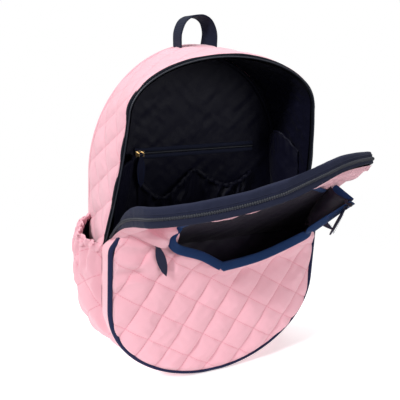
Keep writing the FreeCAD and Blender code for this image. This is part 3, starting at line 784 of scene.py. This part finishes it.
def add_front():
    """The quilted panel with its folds left of the mouth, and its dark lining."""
    grid, cloth, side = front_grid()
    a, b = cloth[..., 0], cloth[..., 1]
    n = normals(grid)
    n *= -np.sign(n[len(grid) // 3, :, 1].mean())
    t = steps(len(grid))[:, None]
    seam = smooth(side / 0.05) * smooth(t / 0.05) * smooth((1 - t) / 0.08)
    corner = smooth((-a - 80) / 50) * smooth((b - 130) / 40)
    folds = corner * 3.6 * np.sin((a * 0.35 + b) / 5.2 + 2 * noise(a, b, 30, 4))
    relief = quilt(a, b) * PUFF + creases(a, b, 21) * 1.3 + folds
    outer = grid + n * (np.maximum(relief, -0.6) * seam)[..., None]
    outer[..., 2] = np.maximum(outer[..., 2], 1.0)
    piece = add_cloth("front_quilted", outer, cloth, "quilted_pink", "fold", "front_panel")
    inner = grid - n * (2.2 + 0.8 * creases(a, b, 8) * seam)[..., None]
    lining = add_cloth("pocket_front_lining_cloth", inner, cloth, "pocket_lining", "fold",
                       "pocket_front_lining", "inner_pocket_bag", flip=True)


def add_pleat():
    """Crumpled cloth between the crest and the flap's outer side, left of the pocket's mouth."""
    crest = spline(CREST, 90)
    s_far = np.interp(crest[:, 0], (-150, -120, -67), (46, 62, 62))
    far = flap_point(np.minimum(crest[:, 0], -69), s_far, -4.0)
    tuck = crest + (0, 7.0, -3.0)
    tuck_share = 0.2
    t = steps(44)[:, None]
    up = (t - tuck_share) / (1 - tuck_share)
    grid = np.where(up[..., None] < 0, between(crest, tuck, t[..., None] / tuck_share),
                    between(tuck, far, up[..., None]))
    a, b = grid[..., 0], length_along(grid, 0)
    crumple = 2.4 * np.sin(a * 0.16 + b * 0.22 + 2.2 * noise(a, b, 18, 41)) + 1.6 * noise(a, b, 9, 42)
    over_slider = 19.0 * np.exp(-((a + 97) / 19) ** 2) * smooth((t - 0.05) / 0.15) * smooth((1 - t) / 0.5)
    grid[..., 1] -= hump(up) * (3 + crumple) + over_slider
    grid[..., 2] += hump(up) * 0.4 * crumple
    piece = add_cloth("corner_pleat", grid, stack(a, b), "plain_pink", "fold")


def add_pocket_inside():
    """Dark lining of the pocket's rear, from its floor up the divider and on under the flap."""
    x = steps(120, -146, 146)
    end_s = np.interp(x, *spline(REAR_LIP, 120).T)
    end_s = np.where(x < REAR_LIP[0][0], 20, end_s)
    end_s = np.where(x > REAR_LIP[-1][0], np.interp(x, (114, 146), (130, 8)), end_s)
    floor = np.maximum(BASE_Z - BASE_RISE * np.sqrt(1 - (x / 149) ** 2) + 6, 6)
    t = steps(100)[:, None]
    out = np.clip(2 * t - 1, 0, 1)
    wall = stack(x, SEAM_Y - 3, between(floor, FOLD_Z - 2, 2 * t))
    under = flap_point(x, end_s * out, -9.5 - 2 * hump(out))
    grid = np.where(t[..., None] < 0.5, wall, under)
    a, b = grid[..., 0], length_along(grid, 0)
    drape = 2.8 * noise(a + 0.3 * b, b * 0.25, 24, 62) + 1.3 * creases(a, b, 61)
    grid[..., 1] -= np.maximum(drape + 1.5, 0) * smooth((1 - t) / 0.05)
    piece = add_cloth("pocket_rear_lining", grid, stack(a, b), "pocket_lining", "fold",
                      "pocket_divider", "pocket_rear_tape")


def add_mouth():
    """Blue tape and coil round the pocket's mouth, and the gusset that closes its right end."""
    front = spline(LIP, 420)
    x = front[:, 0]
    out = stack(0.25 * smooth((x - 60) / 60) - 0.75 * smooth((-60 - x) / 14), -0.85, 0.35)
    lip = add_tube("front_lip_tape", front + out * 2.6 + (0, 0, -2.5), 6.0, "blue_tape", "fold",
                   "pocket_lip", "pocket_lip_tape", "pocket_zip_end_left", up=out, **TAPE)
    x, s = spline(REAR_LIP, 300).T
    rear = flap_point(x, s, -9.0)
    add_tube("rear_lip_tape", rear, 5.0, "blue_tape", "flap", "pocket_zip_end_right",
             up=flap_point(x, s, -19.0) - rear, **TAPE)
    for name, path, body in (("front_lip_coil", front + (0, -0.6, 1.9), "fold"),
                             ("rear_lip_coil", rear, "flap")):
        fine = resample(path, 800)
        teeth = beads(steps(800, 0, length_along(fine)[-1]), 1.7)
        add_tube(name, fine, 0.9 + 0.5 * teeth, "navy_coil", body, sides=6)
    add_gore()


def add_gore():
    """The limp gusset between the lip's right end and the flap, and its short tape."""
    outer = spline(GORE_EDGE + LIP[-2:], 60)[::-1]
    inner = flap_point(steps(60, 114, 146), steps(60, 130, 14), -7.0)
    t = steps(24)[:, None]
    grid = between(outer, inner, t[..., None])
    a, b = length_along(grid, 1), length_along(grid, 0)
    grid[..., 0] += (1.6 * noise(a, b, 14, 71) - 7) * hump(t)
    piece = add_cloth("pocket_gore", grid, stack(a, b), "pocket_lining", "fold", thick=0.8)
    edge = resample([outer[0] + (0, -0.5, -1.0), inner[0] + (4, -2, -1.5)], 40)
    tape = add_tube("gore_tape", edge, 5.2, "blue_tape", "fold", up=(-0.44, -0.84, 0.3), **TAPE)


# ---- inside ----

def add_linings():
    """Satin linings of the gusset and the back, and the binding between them."""
    grid, n, cloth = gusset_grid(420, inset=5.6, y_inset=1.0)
    a, b = cloth[..., 0], cloth[..., 1]
    ripple = 2.8 * creases(a, b, 81) + 1.2 * noise(a, b, 8, 82)
    grid = grid - n * (np.abs(ripple) * smooth(steps(grid.shape[1]) / 0.1))[..., None]
    grid[..., 1] = np.minimum(grid[..., 1], LINING_Y - 0.5)
    piece = add_cloth("gusset_lining_cloth", grid, cloth, "navy_lining", "bag", "gusset_lining",
                      wrap=True, flip=True)
    centre = np.array((0, 215))
    loop = centre + (back_outline(420) - centre) * (0.955, 0.965)
    back = add_disc("back_lining_cloth", loop, LINING_Y, -1.0, 0.0, "navy_lining", "back_lining", seed=83)
    x, z = (centre + (loop - centre) * 0.985).T
    add_tube("lining_binding", stack(x, LINING_Y - 2.5, z), 2.4, "navy_lining", "bag",
             closed=True, flat=0.6, up=(0, 1, 0))


def add_mouth_zip():
    """The gusset's half of the main zip, from the left fold round the arch to the right fold."""
    line = np.concatenate([side[side[:, 1] > FOLD_Z + 2] for side in halves(front_outline(1400))])
    inward = unit((0, 250.0) - line)
    y = front_edge_y(line[:, 1:])
    along = length_along(line)
    wave = 0.8 * noise(along, 0, 24, 91)[:, None]
    over, back = resample(ZIP_PROFILE, 18).T
    grid = stack(line[:, :1] + inward[:, :1] * (over + wave), y + back + 0.5 * wave,
                 line[:, 1:] + inward[:, 1:] * (over + wave))
    tape = add_cloth("main_zip_tape_cloth", grid, cloth_of(grid), "dark_tape", "bag", "main_zip_tape",
                     thick=0.8)
    x, z = (line + inward * 2.2).T
    add_tube("main_zip_teeth", stack(x, y[:, 0] - 2.4, np.minimum(z, TOP_Z)), 0.8 + 0.5 * beads(along, 2.2),
             "navy_coil", "bag", "main_zip_coil", up=(0, 1, 0))


def slip_top(x):
    """Height of the slip pockets' elastic top: low in the middle of each, high at the seams."""
    return np.interp(x, *spline(SLIP_TOP, 200).T)


def slip_belly(x):
    return ease(np.abs(x[:, None] - SLIP_SEAMS).min(-1) / 42)


def add_slip_pockets():
    """Two gathered pockets on the back lining with elastic in their tops."""
    x = steps(170, SLIP_SEAMS[0], SLIP_SEAMS[-1])
    t = steps(90)[:, None]
    z = between(SLIP_FLOOR, slip_top(x), t)
    gather = 2.8 * np.sin(x / 2.6 + 2.5 * noise(x, z, 16, 101)) * smooth((t - 0.45) / 0.5)
    drag = 2.5 * creases(x, z, 102) + 2.2 * noise(x, z * 0.4, 13, 103)
    depth = 2.0 + slip_belly(x) * (9.0 * ease(t * 1.3) + gather + drag)
    piece = add_cloth("slip_pocket_cloth", stack(x, LINING_Y - 1.0 - depth, z), stack(x, z), "navy_lining",
                      "bag", "slip_pockets", flip=True, thick=0.8)
    fine = steps(500, SLIP_SEAMS[0], SLIP_SEAMS[-1])
    path = stack(fine, LINING_Y - 3.5 - 9 * slip_belly(fine) - 0.9 * np.sin(fine / 1.9), slip_top(fine))
    add_tube("slip_pocket_hem", path, 3.4 + 0.5 * np.sin(fine / 1.3), "navy_lining", "bag",
             "slip_pocket_elastic", sides=10, flat=0.55, up=(0, 1, 0))


def add_wall_pocket(side, top_middle, top_end, depth, seed):
    """A pocket on the side wall's lining with a rounded or gathered top."""
    across = steps(70)
    y = between(WALL_POCKET_FRONT, LINING_Y - 4, across)
    t = steps(80)[:, None]
    z = between(WALL_POCKET_FLOOR, between(top_end, top_middle, hump(across)), t)
    wall = HALF_WIDTH - 12 - 14 * smooth((z - 190) / 190) - 7 * across
    frill = 0.8 * np.sin(y / 1.7 + t) * smooth((t - 0.8) / 0.2)
    bulge = depth * hump(across) * ease(t * 1.2) + 1.2 * creases(y, z, seed) + frill
    word = "right" if side > 0 else "left"
    name = "wall_pocket_cloth_" + word
    grid = stack(side * (wall - bulge), y, z)
    piece = add_cloth(name, grid, stack(y, z), "navy_lining", "bag", "wall_pocket_" + word,
                      flip=side > 0, thick=0.8)
    add_tube(name + "_hem", grid[-1], 1.8, "navy_lining", "bag")


def add_inner_zip():
    """Welts and coil of the zip in the back lining."""
    low, high = box_mm("inner_zip_tape")
    x, z = steps(400, low[0], high[0]), (low[2] + high[2]) / 2
    for word, offset in (("upper", 4.6), ("lower", -4.6)):
        path = stack(x, LINING_Y - 1.2, z + offset)
        add_tube("inner_zip_" + word, path, 3.0 + 0.2 * np.sin(x / 5), "navy_tape", "bag",
                 flat=0.5, up=(0, 1, 0))
    add_tube("inner_zip_coil", stack(x, LINING_Y - 1.2, z), 1.3 + 0.5 * beads(x, 1.8), "navy_coil", "bag",
             "inner_zip_tape", up=(0, 1, 0))


# ---- side pockets ----

def add_side_pocket(side):
    """A quilted pocket on the side with a gathered elastic hem, dark inside."""
    word = "right" if side > 0 else "left"
    front, back = (halves(outline(620))[side < 0] for outline in (front_outline, back_outline))
    level = (front[:, 1] + back[:, 1]) / 2
    rising = np.flatnonzero((level > SIDE_POCKET_FLOOR) & (level < 300))[::side]
    across = steps(90)
    t = steps(110)[:, None]
    z = between(SIDE_POCKET_FLOOR, SIDE_POCKET_TOP + SIDE_POCKET_SLOPE * across, t)
    y = SIDE_POCKET_FRONT + SIDE_POCKET_DEPTH * across
    front_x, back_x = (np.interp(z, level[rising], edge[rising, 0]) for edge in (front, back))
    wall = between(front_x, back_x, (y - SEAM_Y) / (BACK_Y - SEAM_Y))
    rise = ease(t * 1.15) ** 1.2 * (1 - 0.12 * smooth((t - 0.9) / 0.1))
    near = smooth(np.minimum(across, 1 - across) / 0.08) * smooth(t / 0.06)
    gathered = smooth((t - 0.55) / 0.4)
    a, b = y * 1.35, z
    hill = quilt(a, b) * PUFF * (1 - 0.5 * gathered)
    gather = gathered * 2.6 * np.sin(a / 2.5 + 2.4 * noise(a, b, 14, 121) + side)
    off = SIDE_POCKET_BELLY * hump(across) ** 0.75 * rise
    off = off + near * (hill + gather + 1.4 * creases(a, b, 122))
    down = np.minimum(np.arctan2(z - BASE_Z, np.abs(wall)), 0)
    grid = stack(wall + side * (off * np.cos(down) + 1.0), y, z + off * np.sin(down))
    cloth = stack(a, b)
    name = "side_pocket_quilted_" + word
    piece = add_cloth(name, grid, cloth, "quilted_pink", "bag", "side_pocket_" + word, flip=side > 0)
    lining = add_cloth(name + "_inside", grid - (side * 2.6, 0, 0), cloth, "navy_lining", "bag",
                       flip=side < 0)
    fine = steps(420)
    rim = stack(*(np.interp(fine, across, column) for column in grid[-1].T))
    frill = np.sin(fine * 150) + 0.6 * np.sin(fine * 97 + 1)
    rim[:, 0] += side * (0.9 * frill - 1.2)
    rim[:, 2] += 0.5 * np.sin(fine * 61) - 3.0
    add_tube("side_pocket_hem_" + word, rim, 6.0, "quilted_pink", "bag", "side_pocket_elastic_" + word,
             sides=14, flat=0.42, up=(side, 0, 0.15))


# ---- handle and straps ----

def add_handle():
    """The webbing loop, turned a little to the back, with its feet sewn into the top."""
    low, high = box_mm("handle")
    half = (high[0] - low[0]) / 2 - 1.2
    right = [(half * 0.42, HANDLE_SHOULDER_Z), (half * 0.82, HANDLE_BEND_Z), (half + 1.2, HANDLE_SIDE_Z),
             *HANDLE_FOOT]
    loop = [(-x, z) for x, z in right[::-1]] + [(0, high[2] - 1.3)] + right
    shift_x, y = HANDLE_SHIFT[0], (low[1] + high[1]) / 2 + HANDLE_SHIFT[1]
    path = spline([(x + shift_x, y, z) for x, z in loop], 160)
    away = unit((path - (shift_x, y, 445.0)) * (1, 0, 1))
    turn = 0.6 * smooth(steps(160, -0.3, 1.0))[:, None]
    away = away * np.cos(turn) + np.sin(turn) * (0, 1.0, 0)
    piece = ribbon("handle_webbing", path, away, 24.6, 2.3, "navy_webbing")
    settle(piece, "handle foot", "navy_webbing", "handle", "handle_feet")


def strap_path(word, start, end, count, lift):
    """Points along one bowed strap between two shares of its length, with outward normals."""
    side = (1 if word == "right" else -1, 1, 1)
    top, foot = np.multiply(STRAP_TOP, side), np.multiply(STRAP_FOOT, side)
    span = np.linalg.norm(top - foot)
    radius = (span ** 2 / 4 + STRAP_BOW ** 2) / (2 * STRAP_BOW)
    reach = math.asin(span / 2 / radius)
    angle = (reach * (1 - 2 * steps(count, start, end)))[:, None]
    out = np.array((0, 1.0, 0))
    normal = np.cos(angle) * out + np.sin(angle) * (top - foot) / span
    centre = (top + foot) / 2 - out * radius * math.cos(reach)
    return centre + normal * (radius + lift), normal


def add_strap(word):
    """A padded strap with edge binding, and the webbing and tail that its ladder buckle holds."""
    body = "strap_" + word
    path, normal = strap_path(word, 0.0, BUCKLE_SHARE, 120, STRAP_THICK)
    side = np.cross(unit(np.gradient(path, axis=0)), normal)
    turn = np.linspace(0, 2 * np.pi, 40, endpoint=False)
    c, s = np.cos(turn), np.sin(turn)
    section = stack(np.sign(c) * np.abs(c) ** 0.55 * STRAP_HALF,
                    np.sign(s) * np.abs(s) ** 0.8 * STRAP_THICK)
    share = steps(120)
    end = np.clip(np.minimum(share, 1 - share) / 0.03, 0, 1)
    end = (0.35 + 0.65 * np.sqrt(end))[:, None, None]
    cloth = stack(section[:, 0], (share * STRAP_LENGTH)[:, None])
    puff = 1 + 0.28 * (quilt(cloth[..., 0], cloth[..., 1]) - 0.6)
    grid = path[:, None] + end * (side[:, None] * section[:, :1]
                                  + normal[:, None] * section[:, 1:] * puff[..., None])
    pad = tube_mesh("strap_padding_" + word, grid, "quilted_pink", cloth=cloth)
    settle(pad, body, "quilted_pink", "strap_pad_" + word)
    for edge, at in (("inner", -22.2), ("outer", 22.2)):
        add_tube(f"strap_binding_{edge}_{word}", (path + side * at)[5:-5], 1.8, "navy_piping", body)
    add_strap_web("strap_web_" + word, word, (-0.03, 1.0 - BUCKLE_SHARE), 110, 1.1, (24.8, 2.0),
                  "strap_webbing_")
    add_strap_web("strap_loose_end_" + word, word, (0.03, 0.90 - BUCKLE_SHARE), 90, 4.2, (24.4, 1.5),
                  "strap_tail_")


def add_strap_web(name, word, past_buckle, count, lift, section, node):
    """Webbing of one strap between two shares of its length past the buckle, lifted off its line."""
    start, end = past_buckle
    line, out = strap_path(word, BUCKLE_SHARE + start, BUCKLE_SHARE + end, count, lift)
    piece = ribbon(name, line, out, *section, "navy_webbing")
    settle(piece, "strap_" + word, "navy_webbing", node + word)


def add_anchors():
    """The stitched patch at the straps' tops and the folded tab at each strap's foot."""
    low, high = box_mm("strap_top_patch")
    x = steps(60, low[0] * 0.8, high[0] * 0.8)
    t = steps(16)[:, None]
    z = between(low[2] - 2, high[2] + 2, t)
    grid = stack(x, BACK_Y + 2.6 + 1.2 * hump(t) + 0.4 * noise(x, z, 8, 131), z)
    patch = add_cloth("strap_patch", grid, stack(x, z), "plain_pink", "bag", "strap_top_patch", thick=3.4)
    for word, side in (("right", 1), ("left", -1)):
        t = steps(24)[:, None]
        x = side * (86 + 17 * t) + (9 + 4 * t) * steps(24, -1, 1)
        z = between(TAB_LOW_Z, TAB_TOP_Z, t)
        grid = stack(x, BACK_Y + 2.0 + 8.0 * smooth((t - 0.45) / 0.55), z)
        tab = add_cloth("strap_tab_cloth_" + word, grid, stack(x, z), "plain_pink", "bag",
                        "strap_tab_" + word, flip=True, thick=2.0)


# ---- sliders, pulls and buckles ----

def soften(node, width, material):
    """A CAD piece that is seen itself, with its edges rounded and its finish on."""
    piece = frame["nodes"][node]
    bevel = piece.modifiers.new("rounded edges", "BEVEL")
    bevel.width = width * MM
    bevel.segments = 3
    piece.data.materials.clear()
    piece.data.materials.append(MATERIALS[material])


def add_pulls():
    """Leather leaves, and the stitching down both edges of each, front and back."""
    line = resample(PULL_STITCHES, 46)
    for node in ("main_pull", "pocket_pull_left", "pocket_pull_right", "inner_pull"):
        joint = JOINTS[node + "_swing"]
        eye, axis = np.array(joint["pos_m"]) / MM, unit(np.array(joint["axis"], float))
        down = sum(box_mm(node)) / 2 - eye
        down = unit(down - axis * down.dot(axis))
        face = np.cross(axis, down)
        stitches = []
        for side, word in ((1, "front"), (-1, "back")):
            seam = eye + line[:, :1] * axis + line[:, 1:] * down + face * side * PULL_FACE
            for k in range(0, 45, 2):
                stitch = resample(seam[k:k + 2], 4)
                stitches.append(tube(f"{word}_{k}", stitch, 0.32, "blue_tape", 6, up=face))
        settle(merge(node + "_stitching", stitches), node, "blue_tape")
        soften(node, 0.55, "navy_leather")


def add_pocket_slider(word, along, up):
    """A small enamelled slider: a waisted body with a bridge over it that the pull hangs from."""
    node = "pocket_slider_" + word
    eye = np.array(JOINTS[f"pocket_pull_{word}_swing"]["pos_m"]) / MM
    centre = sum(box_mm(node)) / 2
    along = unit(np.array(along, float))
    up = unit(up - along * np.dot(up, along))
    stations = steps(24, -5.5, 5.5)
    radius = 3.6 * np.sqrt(1 - (stations / 5.6) ** 2) ** 0.5 * (1 - 0.15 * np.cos(stations * 0.5))
    add_tube(node + "_body", centre + stations[:, None] * along, radius, "navy_metal", node, node,
             sides=16, flat=0.62, up=np.cross(along, up))
    rising = [(centre + up * 1.5, 3.5), ((centre + eye) / 2, 1.5), (eye, 1.6)]
    bridge = [at - along * back for at, back in rising] + [at + along * back for at, back in rising[::-1]]
    add_tube(node + "_bridge", spline(bridge, 40), 0.7, "navy_metal", node)


def add_hardware():
    add_pocket_slider("left", (0.95, -0.1, 0.3), (0, -1, 0))
    add_pocket_slider("right", (-13, 30, 14), (1, 0, 0))
    for node, material in (("main_slider", "navy_metal"), ("inner_slider", "gold_metal"),
                           ("strap_buckle_right", "buckle_plastic"),
                           ("strap_buckle_left", "buckle_plastic")):
        soften(node, 0.5, material)


# ---- light, floor and camera ----

def add_floor(half=900.0):
    """A pale floor that takes soft shadows near the bag and fades out further away."""
    n = Nodes("floor")
    n.finish(Base_Color=(0.95, 0.94, 0.94, 1), Roughness=0.9, Emission_Color=(1, 0.99, 0.99, 1),
             Emission_Strength=0.3)
    distance = n.add("ShaderNodeVectorMath", operation="LENGTH")
    n.link(n.add("ShaderNodeTexCoord").outputs["Object"], distance.inputs[0])
    fade = n.add("ShaderNodeMapRange", interpolation_type="SMOOTHSTEP",
                 **{"From Min": 0.28, "From Max": 0.62})
    n.link(distance.outputs["Value"], fade.inputs["Value"])
    blend = n.add("ShaderNodeMixShader")
    clear = n.add("ShaderNodeBsdfTransparent")
    for slot, output in enumerate((fade.outputs[0], n.shader.outputs[0], clear.outputs[0])):
        n.link(output, blend.inputs[slot])
    n.link(blend.outputs[0], n.tree.nodes["Material Output"].inputs["Surface"])
    MATERIALS["floor"] = n.material
    corners = [(-half, -half, 0), (half, -half, 0), (half, half, 0), (-half, half, 0)]
    add_mesh("floor", corners, [[0, 1, 2, 3]], "floor")


def add_area_light(name, position, size, power):
    """A round white light aimed at the bag's middle."""
    data = bpy.data.lights.new(name, "AREA")
    data.shape = "DISK"
    data.size = size
    data.energy = power
    light = bpy.data.objects.new(name, data)
    light.location = position
    light.rotation_euler = (Vector((0, 0, 0.22)) - Vector(position)).to_track_quat("-Z", "Y").to_euler()
    bpy.context.scene.collection.objects.link(light)


def add_lights():
    """A soft key from the upper left, weak fill, and a pale room that looks white behind the bag."""
    add_area_light("key", (-3.6, -1.6, 3.0), 0.8, 154)
    add_area_light("fill", (1.3, -3.0, 1.3), 1.8, 34)
    add_area_light("top", (0.2, 0.3, 2.4), 1.6, 20)
    add_area_light("crown", (-1.9, 1.3, 3.1), 1.2, 46)
    world = bpy.data.worlds.new("studio")
    world.use_nodes = True
    tree = world.node_tree
    ray = tree.nodes.new("ShaderNodeLightPath")
    strength = tree.nodes.new("ShaderNodeMapRange")
    strength.inputs["To Min"].default_value = 0.38
    strength.inputs["To Max"].default_value = 1.0
    tree.links.new(ray.outputs["Is Camera Ray"], strength.inputs["Value"])
    tree.links.new(strength.outputs[0], tree.nodes["Background"].inputs[1])
    tree.nodes["Background"].inputs[0].default_value = (1, 1, 1, 1)
    bpy.context.scene.world = world
    bpy.context.scene.view_settings.view_transform = "Standard"


def add_camera():
    """Three-quarter view from the front left, a little above the bag, fitted to the photo's own view."""
    data = bpy.data.cameras.new("camera")
    data.lens = 63.11
    data.sensor_width = 36.0
    camera = bpy.data.objects.new("camera", data)
    position = Vector((-423.743, -796.406, 511.870)) * MM
    right = Vector((0.89034328, -0.45290072, 0.04658085))
    up = Vector((0.0952505, 0.28533625, 0.95368263))
    turn = Matrix((right, up, right.cross(up))).transposed()
    camera.matrix_world = Matrix.Translation(position) @ turn.to_4x4()
    bpy.context.scene.collection.objects.link(camera)
    bpy.context.scene.camera = camera


add_camera()
add_lights()
add_floor()
add_gusset()
add_back()
add_front_piping()
add_pocket_gusset()
add_flap()
add_front()
add_pleat()
add_pocket_inside()
add_mouth()
add_linings()
add_mouth_zip()
add_slip_pockets()
add_wall_pocket(1, 318, 296, 9, 111)
add_wall_pocket(-1, 298, 290, 26, 112)
add_inner_zip()
add_side_pocket(-1)
add_side_pocket(1)
add_handle()
add_strap("left")
add_strap("right")
add_anchors()
add_pulls()
add_hardware()
